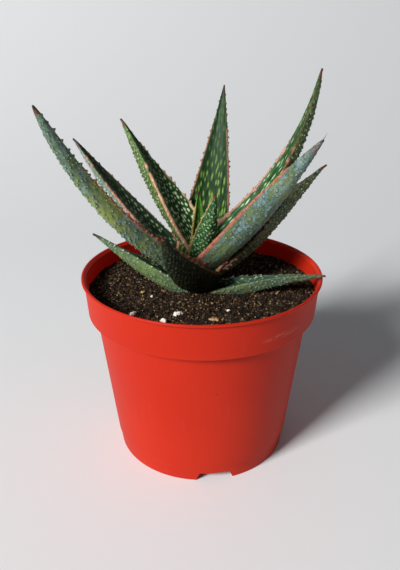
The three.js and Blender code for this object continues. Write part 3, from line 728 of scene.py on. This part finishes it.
# Each spine starts at base, with azimuth and rise in degrees; sweep adds to the azimuth up to the tip, and
# rise and roll go from their first to their second value, the rise along a power, bend. The width at the
# base swells by belly and narrows by the power taper. Tooth: height of the teeth on the left and the right.
# Bands: width of the left and the right margin at the base, and the share of the leaf where they fade out.
# Dots: how strongly the bumps on the back are dotted with brown. Gloss: how much the skin shines.
# Zones: places along the leaf where patches gather, as (share, reach, strength).
# Marks: pitch along and across, half length and half width, height, share of places filled, and how much
# they lengthen to the base. Back bend: how far the rows on the back bend to the tip at the middle.
LEAVES = {
    "leaf_01": dict(
        base=(-1.5, -0.5, 102), azimuth=218, sweep=14, rise=(19.7, 61.4), bend=0.64, roll=(4.2, 39.7),
        length=121, width=19.3, belly=-0.2, taper=0.66, tooth=(1.1, 0.4), slot="leaf_blue_green",
        back="7c968a 2c4838 96a24c 97aa8a 2e4934", face="4a7a4c 1e3819 24421f 5c8858 b9cbb0",
        margin="b07a62 7c4a36 6e3a30", tip="7a4238 3e2420", tip_length=4.5,
        bands=(2.3, 1.4, 0.74), zones=((0.56, 0.13, 1.0), (0.3, 0.1, 0.45)),
        back_marks=(2.8, 2.3, 0.62, 0.48, 0.6, 0.8, 0.1), face_marks=(5.0, 1.9, 1.6, 0.4, 0.1, 0.7, 0.3),
    ),
    "leaf_02": dict(
        base=(-4, 1.1, 98.4), azimuth=159, sweep=3.2, rise=(33.2, 48.4), bend=0.5, roll=(9, 0),
        length=87.8, width=21.5, belly=0.3, taper=0.85, tooth=(0.7, 1.0), slot="leaf_spotted",
        back="82948e 46604e 86a06a cfd8c4 405947", face="35543f 13221a 2e3a2c 3d6440 c8cfa6",
        margin="b88c74 8c5a44 d09c80 e2a98c", tip="6a5048 2e2020", tip_length=7.0, bands=(1.5, 2.0, 0.82),
        back_marks=(2.6, 2.1, 0.55, 0.45, 0.65, 0.8, 0.1), face_marks=(3.6, 2.2, 1.2, 0.55, 0.2, 0.85, 0.25),
    ),
    "leaf_03": dict(
        base=(3.2, 3.6, 104), azimuth=149.5, sweep=10, rise=(52.2, 54.2), bend=1.26, roll=(-22, 22),
        length=79.9, width=15, belly=0.7, taper=0.67, tooth=(0.6, 1.7), slot="leaf_spotted",
        # leaf_03's pale tooth and right margin colours are painted light: the glow of light let through its
        # far margin and teeth.
        back="627e42 2c4520 8a9c54 bccb98 2c461f", face="2a5a24 0b210a 2f4c22 37742a e6f0d0",
        margin="cba68a ac7a5a f0d0ac f0c8a4", tip="7c4a38 3e2420", tip_length=5.5, bands=(2.0, 3.2, 0.75),
        back_marks=(2.4, 1.9, 0.55, 0.45, 0.75, 0.85, 0.1),
        face_marks=(2.7, 1.75, 1.05, 0.56, 0.25, 0.95, 0.35),
    ),
    "leaf_04": dict(
        base=(-0.6, 3, 102), azimuth=80.3, sweep=-8.8, rise=(41.3, 73.7), bend=1.3, roll=(8, -6.5),
        length=96.5, width=25.7, belly=0.16, taper=0.89, tooth=(0.6, 0.9), slot="leaf_spotted",
        back="4c6c45 294426 6c8a44 a9bf86 243e24", face="1f421e 0b1c0c 27402a 355f1e 7f9a4c",
        margin="b07f66 84543e 7c3f30", tip="5a3228 2e1a18", tip_length=6.0,
        bands=(1.3, 1.1, 0.82), gloss=0.22, zones=((0.3, 0.16, 0.8),),
        back_marks=(2.8, 2.1, 0.6, 0.5, 0.6, 0.8, 0.1), face_marks=(5.2, 1.9, 2.2, 0.5, 0.2, 0.82, 0.2),
    ),
    "leaf_05": dict(
        base=(0, 3, 102.5), azimuth=22.3, sweep=-2.5, rise=(37, 77.2), bend=1.22, roll=(22, -27.7),
        length=110.7, width=27.2, belly=-0.16, taper=0.8, tooth=(0.8, 1.2), slot="leaf_spotted",
        back="40583a 1c2c1c 72823c 9fb08a 1f2e22", face="256430 0a2810 34461e 3f8440 c8dcba",
        margin="d0a88e 946048 8e4a36 b27a62", tip="6a3a2a 3a2018", tip_length=5.0,
        bands=(4.2, 1.5, 0.62), gloss=0.3, zones=((0.82, 0.08, 0.5), (0.66, 0.05, 0.6)),
        back_marks=(2.8, 2.1, 0.6, 0.5, 0.7, 0.85, 0.1), face_marks=(5.0, 1.9, 2.1, 0.42, 0.14, 0.85, 0.45),
    ),
    "leaf_06": dict(
        base=(-3.1, 0.55, 102.5), azimuth=-12, sweep=-8.6, rise=(44.7, 49.2), bend=1, roll=(-2, -34),
        length=86.1, width=19, belly=0.42, taper=0.67, tooth=(0.8, 0.7), slot="leaf_blue_green",
        back="728c90 34513e 76864a a8b494 2c4838", face="3c6a48 1e3823 3c5c48 5c8858 b4c6b0",
        margin="b8765e 8a4e3a 9a5644", tip="7a7674 3a302e", tip_length=9.5,
        bands=(0.4, 2.2, 0.82), dots=0.6, zones=((0.68, 0.06, 0.9), (0.2, 0.14, 0.6), (0.45, 0.06, 0.4)),
        back_marks=(3.1, 2.2, 0.7, 0.5, 0.4, 0.72, 0.0), face_marks=(4.6, 1.8, 1.4, 0.4, 0.12, 0.75, 0.3),
    ),
    "leaf_07": dict(
        base=(1, 3, 100.5), azimuth=14.7, sweep=-6.6, rise=(37, 36.8), bend=1, roll=(31, -28),
        length=77.5, width=21.7, belly=0.6, taper=0.86, tooth=(2.1, 2.1), slot="leaf_dark",
        back="4f6844 1a2a1a 5e6238 b2c096 141a14", face="30482e 152315 30402a 4a6a40 7c8a66",
        margin="6a4a34 3c261a 4a2c20", tip="8a3c2c 4a241c", tip_length=4.0,
        bands=(1.0, 1.0, 0.6), zones=((0.75, 0.12, 0.6), (0.45, 0.12, 0.5)),
        back_marks=(2.3, 1.7, 0.55, 0.45, 0.6, 0.95, 0.1), face_marks=(3.6, 1.9, 1.0, 0.35, 0.15, 0.7, 0.2),
    ),
    "leaf_08": dict(
        base=(-2, 1, 105.5), azimuth=-51, sweep=-2, rise=(65, 71), bend=1, roll=(-4, -10),
        length=37, width=10, belly=0.7, taper=0.85, tooth=(0.6, 0.4), slot="leaf_young",
        back="32663a 153c1c 4f8a44 bcd8a2 122e1a", face="2c5c2a 153216 3f6a38 3f7838 b4d0a0",
        margin="b0a070 806444 b89a68", tip="7c3420 4a1e16", tip_length=3.6,
        bands=(1.3, 1.0, 0.9), gloss=0.25, zones=((0.3, 0.3, 0.2),),
        back_marks=(2.0, 2.2, 0.4, 0.95, 0.4, 1.0, 0.0),
        face_marks=(2.6, 1.6, 0.8, 0.4, 0.2, 0.8, 0.2), back_bend=0.45,
    ),
    "leaf_09": dict(
        base=(-0.5, 1, 103), azimuth=110, sweep=0, rise=(81, 88), bend=1, roll=(0, 0),
        length=33.5, width=12, belly=0, taper=0.85, tooth=(0.8, 0.8), slot="leaf_young",
        back="4c8430 284a1c 7fa83c bcd68a 305921", face="487f26 1e4014 4f8a30 74ac40 bcd67e",
        margin="a79353 866a33 c8b070", tip="7a3a22 4a2218", tip_length=3.0, bands=(0.9, 0.9, 0.9),
        back_marks=(2.2, 1.8, 0.6, 0.4, 0.35, 0.9, 0.0), face_marks=(3.0, 1.5, 1.1, 0.35, 0.12, 0.8, 0.3),
    ),
    "leaf_10": dict(
        base=(0, -2.5, 97.5), azimuth=241.5, sweep=2.4, rise=(20.2, 56.3), bend=0.95, roll=(3.2, 7.6),
        length=49.6, width=21.9, belly=0.3, taper=0.88, tooth=(0.8, 0.4), slot="leaf_dark",
        back="1c2317 0a0e09 3a4220 4a523c 070a06", face="22371f 101b10 2c3c28 4a6a40 5c6a5a",
        margin="7a5636 42301c 5a3a28 a3a266", tip="8a4a40 5a2c26", tip_length=3.0,
        bands=(1.3, 1.3, 0.85), gloss=0.25,
        back_marks=(2.0, 2.3, 0.34, 0.95, 0.45, 0.95, 0.0),
        face_marks=(3.4, 1.8, 0.9, 0.35, 0.15, 0.7, 0.2), back_bend=0.35,
    ),
    "leaf_11": dict(
        base=(-3.4, -2.9, 90.1), azimuth=181.5, sweep=3.4, rise=(24.9, 32.8), bend=0.65, roll=(3.9, 21.7),
        length=56.9, width=15.9, belly=0.35, taper=0.82, tooth=(0.9, 1.9), slot="leaf_low",
        back="68835c 2a4430 8aa058 b4c6a4 2c4630", face="304e34 17271d 44604a 547a50 b8ccae",
        margin="939365 6c734c d8cea0", tip="4a3832 2c2020", tip_length=4.5,
        bands=(0.5, 0.5, 0.1), zones=((0.45, 0.25, 0.6),),
        back_marks=(2.2, 1.9, 0.5, 0.4, 0.35, 0.85, 0.1), face_marks=(3.2, 1.7, 0.9, 0.35, 0.15, 0.7, 0.2),
    ),
    "leaf_12": dict(
        base=(3.5, -3.8, 88), azimuth=-8.3, sweep=-4.5, rise=(25.1, 4.7), bend=0.51, roll=(1.2, -25.1),
        length=58.8, width=14.8, belly=0.24, taper=0.8, tooth=(2.2, 0.6), slot="leaf_low",
        back="64806a 3a4e3e 84904e a9b99a 2e4232", face="44604a 233426 44583e 5a7c58 b4c0a0",
        margin="7a784f 585735 a4a684", tip="8a4c3c 5a2c24", tip_length=3.0,
        bands=(0.5, 0.5, 0.1), zones=((0.3, 0.2, 0.35),),
        back_marks=(2.5, 2.0, 0.5, 0.36, 0.45, 0.7, 0.1), face_marks=(2.8, 1.8, 0.7, 0.35, 0.15, 0.75, 0.2),
    ),
}

# The hair on one leaf's tip: its length and the rise and azimuth that it leans to.
HAIR_LEAF = "leaf_06"
HAIR_LENGTH = 2.6
HAIR_HEADING = (68, -15)

# Control points round the leaf: share of the half width, and which surface the height is from.
SECTION = (
    ("edge", -1.0), ("lift", -0.9), ("face", -0.5), ("face", 0.0), ("face", 0.5), ("lift", 0.9),
    ("edge", 1.0), ("back", 0.85), ("back", 0.45), ("back", 0.0), ("back", -0.45), ("back", -0.85),
)
# How many points each stretch between two of them has.
SECTION_STEPS = (6, 10, 11, 11, 10, 6, 10, 10, 10, 10, 10, 10)
# What a leaf's mesh tells its material at each point.
MASK_NAMES = ("face", "core", "halo", "margin", "right", "knob", "zone", "along")


def leaf_spine(leaf):
    """Places, directions and shares along the spine, less than half a millimetre apart."""
    count = int(round(leaf["length"] / LEAF_STEP))
    share = np.linspace(0, 1, count + 1)
    middle = (share[:-1] + share[1:]) / 2

    def heading(s):
        rise = np.radians(leaf["rise"][0] + (leaf["rise"][1] - leaf["rise"][0]) * s ** leaf["bend"])
        return rise, np.radians(leaf["azimuth"] + leaf["sweep"] * s)

    def along(s):
        rise, azimuth = heading(s)
        return np.stack([np.cos(rise) * np.cos(azimuth), np.cos(rise) * np.sin(azimuth), np.sin(rise)], -1)

    steps = along(middle) * (leaf["length"] / count)
    places = np.array(leaf["base"]) + np.vstack([np.zeros(3), np.cumsum(steps, axis=0)])
    tangent = along(share)
    rise, azimuth = heading(share)
    up = np.stack([-np.sin(rise) * np.cos(azimuth), -np.sin(rise) * np.sin(azimuth), np.cos(rise)], -1)
    side = np.cross(tangent, up)
    roll = np.radians(leaf["roll"][0] + (leaf["roll"][1] - leaf["roll"][0]) * share)[:, None]
    normal = up * np.cos(roll) + side * np.sin(roll)
    return share, places, tangent, normal, np.cross(tangent, normal)


def leaf_width(leaf, share):
    """Width at a share of the length, which never falls below the tip's."""
    taper = (1 - share) ** leaf["taper"]
    return leaf["width"] * taper * (1 + 4 * leaf["belly"] * share * (1 - share)) + LEAF_TIP


def leaf_section(leaf, share):
    """Rings of (across, up) points, smooth through the same control points as the solid."""
    width = leaf_width(leaf, share)
    half = width / 2
    channel = LEAF_CHANNEL * (1 - share) ** LEAF_CHANNEL_FADE * width
    thickness = LEAF_THICKNESS + (LEAF_TIP_THICKNESS - LEAF_THICKNESS) * share
    depth = channel + np.maximum(thickness * width, LEAF_LEAST)
    lift = np.minimum(MARGIN_LIFT, width * 0.2)
    knots = []
    for kind, u in SECTION:
        if kind == "edge":
            knots.append((u * np.maximum(half - EDGE_INSET, 0.25), np.zeros_like(half)))
        elif kind == "lift":
            knots.append((u * np.maximum(half - EDGE_INSET - 0.2, 0.15), lift))
        elif kind == "face":
            knots.append((u * half, -channel * (1 - u * u)))
        else:
            knots.append((u * half, -depth * (1 - abs(u) ** LEAF_BACK_POWER) ** LEAF_BACK_ROUND))
    knots = np.stack([np.stack(k, -1) for k in knots], 1)
    return closed_curve(knots, SECTION_STEPS)


def blended(a, b, at_a, at_b, at):
    """The point at a value on the way from a to b."""
    w = ((at - at_a) / (at_b - at_a))[:, None]
    return a * (1 - w) + b * w


def closed_curve(knots, steps):
    """A smooth closed curve through the knots of every ring, with no overshoot at tight corners."""
    count = knots.shape[1]
    out = []
    for i in range(count):
        p = [knots[:, (i + k) % count] for k in (-1, 0, 1, 2)]
        t = [np.zeros(len(knots))]
        for a, b in zip(p, p[1:]):
            t.append(t[-1] + np.sqrt(np.linalg.norm(b - a, axis=1) + 1e-9))
        for k in range(steps[i]):
            at = t[1] + (t[2] - t[1]) * k / steps[i]
            a1, a2, a3 = (blended(p[m], p[m + 1], t[m], t[m + 1], at) for m in range(3))
            b1 = blended(a1, a2, t[0], t[2], at)
            b2 = blended(a2, a3, t[1], t[3], at)
            out.append(blended(b1, b2, t[1], t[2], at))
    return np.stack(out, 1)


def tooth_rise(leaf, along_mm, seed, side):
    """How far the margin stands out in blunt teeth that lean to the tip."""
    rng = np.random.default_rng(seed)
    rise = np.zeros_like(along_mm)
    place = 4.0 + 2.5 * side
    while place < leaf["length"] * 0.97:
        share = place / leaf["length"]
        room = min(1.0, leaf_width(leaf, share) / 5)
        height = TOOTH_HEIGHT * leaf["tooth"][side] * room * rng.uniform(0.4, 1.15)
        half = max(0.7, height * rng.uniform(0.5, 0.8))
        offset = (along_mm - place) / half
        # The near flank is long and the far flank short, so the tooth points to the tip.
        flank = np.where(offset < 0, 1 + offset, 1 - offset * 1.25)
        rise = np.maximum(rise, height * np.clip(flank, 0, 1) ** 0.85)
        place += TOOTH_PITCH * rng.uniform(0.4, 1.2) * (0.75 + 0.25 * room)
    return rise


def surface_marks(marks, bend, along_mm, across_mm, length, seed):
    """Core, halo and relief of the marks on one side of a leaf."""
    pitch_x, pitch_y, half_x, half_y, height, presence, stretch = marks
    share = along_mm / length
    x = along_mm * (1 - stretch * (1 - share)) - bend * np.abs(across_mm)
    jitter = 0.12 if bend else 0.32
    sizes = [(half_x, half_y), (half_x * 1.55, half_y * 1.7)]
    core, halo = scattered_bumps(x, across_mm, (pitch_x, pitch_y), sizes, seed, presence, jitter)
    return core, halo, height * np.sqrt(core)


def outward_from(points):
    """The way out of the skin at every point of its rings."""
    by_row = np.gradient(points, axis=0)
    by_column = np.roll(points, -1, 1) - np.roll(points, 1, 1)
    outward = np.cross(by_column, by_row)
    return outward / (np.linalg.norm(outward, axis=2)[..., None] + 1e-12)


def places_on_ring(ring):
    """Whether each point is on the face, whether it is left, and how far it is from its edge and across."""
    step = np.linalg.norm(np.roll(ring, -1, 1) - ring, axis=2)
    run = np.cumsum(step, 1) - step
    turn = sum(SECTION_STEPS[:6])
    right, whole = run[:, turn, None], run[:, -1:] + step[:, -1:]
    on_face = np.broadcast_to(np.arange(ring.shape[1]) < turn, run.shape)
    to_left = np.minimum(run, whole - run)
    to_right = np.abs(run - right)
    arc_across = np.where(on_face, run - right / 2, run - (right + whole) / 2)
    return on_face, to_left < to_right, np.minimum(to_left, to_right), arc_across


def margin_masks(leaf, seed, share, along_mm, is_left, seen):
    """The margin, a thick uneven band that narrows and breaks up into knobs towards the tip."""
    left_band, right_band, fade = leaf["bands"]
    side_salt = np.where(is_left, 0.0, 37.0)
    uneven = value_noise(along_mm / 2.3 + side_salt, side_salt, seed + 1)
    broad = value_noise(along_mm / 7.5 + side_salt, side_salt, seed + 2)
    band = np.where(is_left, left_band, right_band) / 2
    band = band * np.clip(1.2 - 1.5 * share, 0.42, 1) * (1 + 0.3 * uneven + 0.25 * broad) + 0.25
    presence = np.clip((fade + 0.12 * uneven + 0.08 * broad - share) / 0.12, 0, 1)
    margin = np.clip((band - seen) / 0.35 + 0.5, 0, 1) * presence
    crest = np.clip(1 - seen / (band + 0.3), 0, 1) * presence
    inside = np.clip((seen - band * presence - 0.3) / 0.6, 0, 1)
    return margin, crest, inside, uneven


def leaf_points(name, leaf):
    """Points of a leaf's skin, ring by ring, the masks that its material reads, and places on the skin."""
    seed = 100 + int(name[-2:])
    share, places, tangent, normal, across = leaf_spine(leaf)
    tangent, normal, across = tangent[:, None], normal[:, None], across[:, None]
    ring = leaf_section(leaf, share)
    base = places[:, None] + ring[..., :1] * across + ring[..., 1:] * normal
    width = leaf_width(leaf, share)[:, None]
    share = np.broadcast_to(share[:, None], ring.shape[:2])
    along_mm = share * leaf["length"]
    on_face, is_left, from_edge, arc_across = places_on_ring(ring)
    seen = from_edge * np.where(on_face, 0.8, 1.0)
    margin, crest, inside, uneven = margin_masks(leaf, seed, share, along_mm, is_left, seen)

    small = np.clip(width / 9, 0.3, 1)
    wandering = arc_across / small**0.6 + 0.5 * value_noise(along_mm / 7, arc_across / 5, seed + 3)
    place = (along_mm, wandering, leaf["length"])
    face_marks = surface_marks(leaf["face_marks"], 0.0, *place, seed + 5)
    back_marks = surface_marks(leaf["back_marks"], leaf.get("back_bend", 0.0), *place, seed + 7)
    core, halo, relief = np.where(on_face, face_marks, back_marks)
    relief = relief * inside * small
    relief = relief + 0.12 * inside * value_noise(along_mm / 3.1, arc_across / 1.4, seed + 9)
    ridges = 0.1 * np.where(on_face, 0.0, 1.0) * value_noise(along_mm / 26, arc_across / 1.6, seed + 10)
    relief = relief + inside * small * ridges
    relief = relief + np.sqrt(crest) * (0.28 + 0.26 * uneven) * np.clip(width / 7, 0.4, 1)

    left_teeth = tooth_rise(leaf, along_mm[:, :1], seed + 11, 0)
    right_teeth = tooth_rise(leaf, along_mm[:, :1], seed + 13, 1)
    # Relief and teeth die out in the last millimetres, so that the tip keeps its place.
    calm = np.clip((1 - share) * leaf["length"] / CALM_TIP - 0.3, 0, 1)
    teeth = np.where(is_left, left_teeth, right_teeth) * calm
    blade = np.exp(-((from_edge / 0.6) ** 2))
    lean = np.where(is_left, -1.0, 1.0)[..., None] * across + 0.4 * tangent + 0.15 * normal
    points = base + outward_from(base) * (relief * calm)[..., None] + (teeth * blade)[..., None] * lean

    zone = np.zeros_like(share)
    for centre, reach, strength in leaf.get("zones", ()):
        zone = np.maximum(zone, strength * np.exp(-(((share - centre) / reach) ** 2)))
    masks = {
        "face": on_face,
        "core": core * inside,
        "halo": halo * inside,
        "margin": margin,
        "right": ~is_left,
        "knob": np.clip(teeth * blade / 0.7 + 0.8 * np.clip(uneven - 0.1, 0, 1) * crest, 0, 1),
        "zone": zone,
        "along": share,
    }
    skin = np.stack([along_mm, arc_across, np.where(on_face, 40.0, 0.0)], -1)
    return points, masks, skin


def build_leaf(name, leaf):
    points, masks, skin = leaf_points(name, leaf)
    rows, columns = points.shape[:2]
    flat = {key: np.concatenate([m.ravel(), m[0, :1], m[-1, :1]]) for key, m in masks.items()}
    flat["skin"] = np.concatenate([skin.reshape(-1, 3), skin[0, :1], skin[-1, :1]])
    points = np.concatenate([points.reshape(-1, 3), [points[0].mean(0), points[-1].mean(0)]])
    material = leaf_material(name, leaf)
    mesh_piece(name + "_look", points, ring_faces(rows, columns), name, material, flat)


def leaf_back(shader, mask, tone, dots, broad, mottle, fine):
    """Mottled in two greens with yellow-green patches, and pale bumps with a darker ring, partly the leaf's
    own dark spots and partly painted shade in the hollow round each bump.
    """
    clouds = shader.total((broad, 0.6), (mottle, 0.4))
    back = shader.lay(tone["back"], clouds, 0.36, 0.64, tone["back_2"])
    pale = shader.noise(detail=2.0, stretch=(0.75, 0.8, 1.7))
    back = shader.lay(back, pale, 0.53, 0.68, tone["bead"], 0.45)
    back = shader.lay(back, pale, 0.46, 0.34, tone["ring"], 0.7)
    gather = shader.total((broad, 1.0), (mask["zone"], 0.3), (fine, 0.25), (mottle, 0.35))
    back = shader.lay(back, gather, 0.8, 1.12, tone["patch"], 0.75)
    # The ring round each bump: the leaf's own dark spots, with painted shade in the hollow round the bump.
    back = shader.lay(back, mask["halo"], 0.1, 0.6, tone["ring"], 0.6)
    back = shader.lay(back, mask["core"], 0.25, 0.65, tone["bead"], 0.9)
    if dots:
        back = shader.lay(back, mask["core"], 0.6, 0.85, srgb("6e3228"), dots)
    return back


def leaf_face(shader, mask, tone):
    """Darker, in long streaks, with marks of a green halo round a pale core."""
    streak = shader.noise(stretch=(0.14, 1.0, 1.0))
    face = shader.lay(tone["face"], streak, 0.38, 0.62, tone["face_2"])
    face = shader.lay(face, mask["along"], 0.3, 0.0, tone["halo"], 0.55)
    face = shader.lay(face, mask["halo"], 0.1, 0.7, tone["halo"], 0.75)
    face = shader.lay(face, mask["core"], 0.2, 0.6, tone["spot"], 0.95)
    return shader.lay(face, mask["along"], 0.35, 0.75, tone["face_end"], 0.75)


def leaf_margin(shader, mask, tone, fine):
    margin = shader.lay(tone["margin"], fine, 0.38, 0.62, tone["margin_2"])
    # The right margin's own colour is painted light and shade: the glow let through the far margin of leaf_02
    # and leaf_03, and the lit rim of leaf_10.
    if "right_margin_painted_light" in tone:
        margin = shader.mix(mask["right"], margin, tone["right_margin_painted_light"])
    return margin


def leaf_material(name, leaf):
    shader = Shader(name + "_skin", IOR=1.42, Specular_IOR_Level=leaf.get("gloss", 0.4))
    shader.set(Subsurface_Weight=0.05, Subsurface_Scale=0.002, Subsurface_Radius=(0.4, 0.7, 0.2))
    tone = {}
    for group, names in COLOUR_NAMES.items():
        tone.update(zip(names, map(srgb, leaf[group].split())))
    mask = {key: shader.attribute(key) for key in MASK_NAMES}
    shader.place = shader.attribute("skin", "Vector")
    broad = shader.noise(stretch=(0.13, 0.24, 1.0))
    mottle = shader.noise(stretch=(0.42, 0.62, 1.0))
    fine = shader.noise(stretch=(1.7, 2.6, 1.0))

    back = leaf_back(shader, mask, tone, leaf.get("dots"), broad, mottle, fine)
    colour = shader.mix(mask["face"], back, leaf_face(shader, mask, tone))
    colour = shader.lay(colour, fine, 0.4, 0.75, tone["back_2"], 0.3)
    colour = shader.mix(mask["margin"], colour, leaf_margin(shader, mask, tone, fine))
    colour = shader.lay(colour, mask["knob"], 0.25, 0.85, tone["tooth"], 0.85)
    tip = shader.lay(tone["tip"], fine, 0.4, 0.6, tone["tip_2"])
    start = 1 - leaf["tip_length"] / leaf["length"]
    reach = 0.4 * leaf["tip_length"] / leaf["length"]
    colour = shader.lay(colour, mask["along"], start, start + reach, tip, 0.9)
    last = 1 - 1.8 / leaf["length"]
    colour = shader.lay(colour, mask["along"], last, last + 0.8 / leaf["length"], tone["tip_2"])
    shader.set(Base_Color=colour, Roughness=shader.band(fine, 0.2, 0.8, 0.42, 0.6))
    shader.bump(fine, 0.5, 0.3)
    return shader.material


def build_hair():
    """The fine dry hair that stands on the tip of one leaf."""
    leaf = LEAVES[HAIR_LEAF]
    _, places, tangent, _, _ = leaf_spine(leaf)
    share = np.linspace(0, 1, 12)
    rise, azimuth = np.radians(HAIR_HEADING)
    aim = np.array([math.cos(rise) * math.cos(azimuth), math.cos(rise) * math.sin(azimuth), math.sin(rise)])
    start = places[-1] - 0.8 * tangent[-1]
    path = start + np.outer(share * 1.4, tangent[-1]) + np.outer(share**1.5 * HAIR_LENGTH, aim)
    points, faces = tube(path, 0.3 - 0.24 * share, 10)
    skin = fibrous_material("hair_skin", "8a8078", "4a3c36", 0.6, 2500.0, detail=2.0)
    mesh_piece(HAIR_LEAF + "_hair", points, faces, HAIR_LEAF, skin)


SCENE.unit_settings.system = "METRIC"
build_camera()
build_studio()
build_window()
build_pot()
SOIL_MATERIAL = soil_material()
build_soil(SOIL_MATERIAL)
build_crumbs(SOIL_MATERIAL)
build_grains()
build_twig()
build_stem()
for leaf_name, leaf_facts in LEAVES.items():
    build_leaf(leaf_name, leaf_facts)
build_hair()
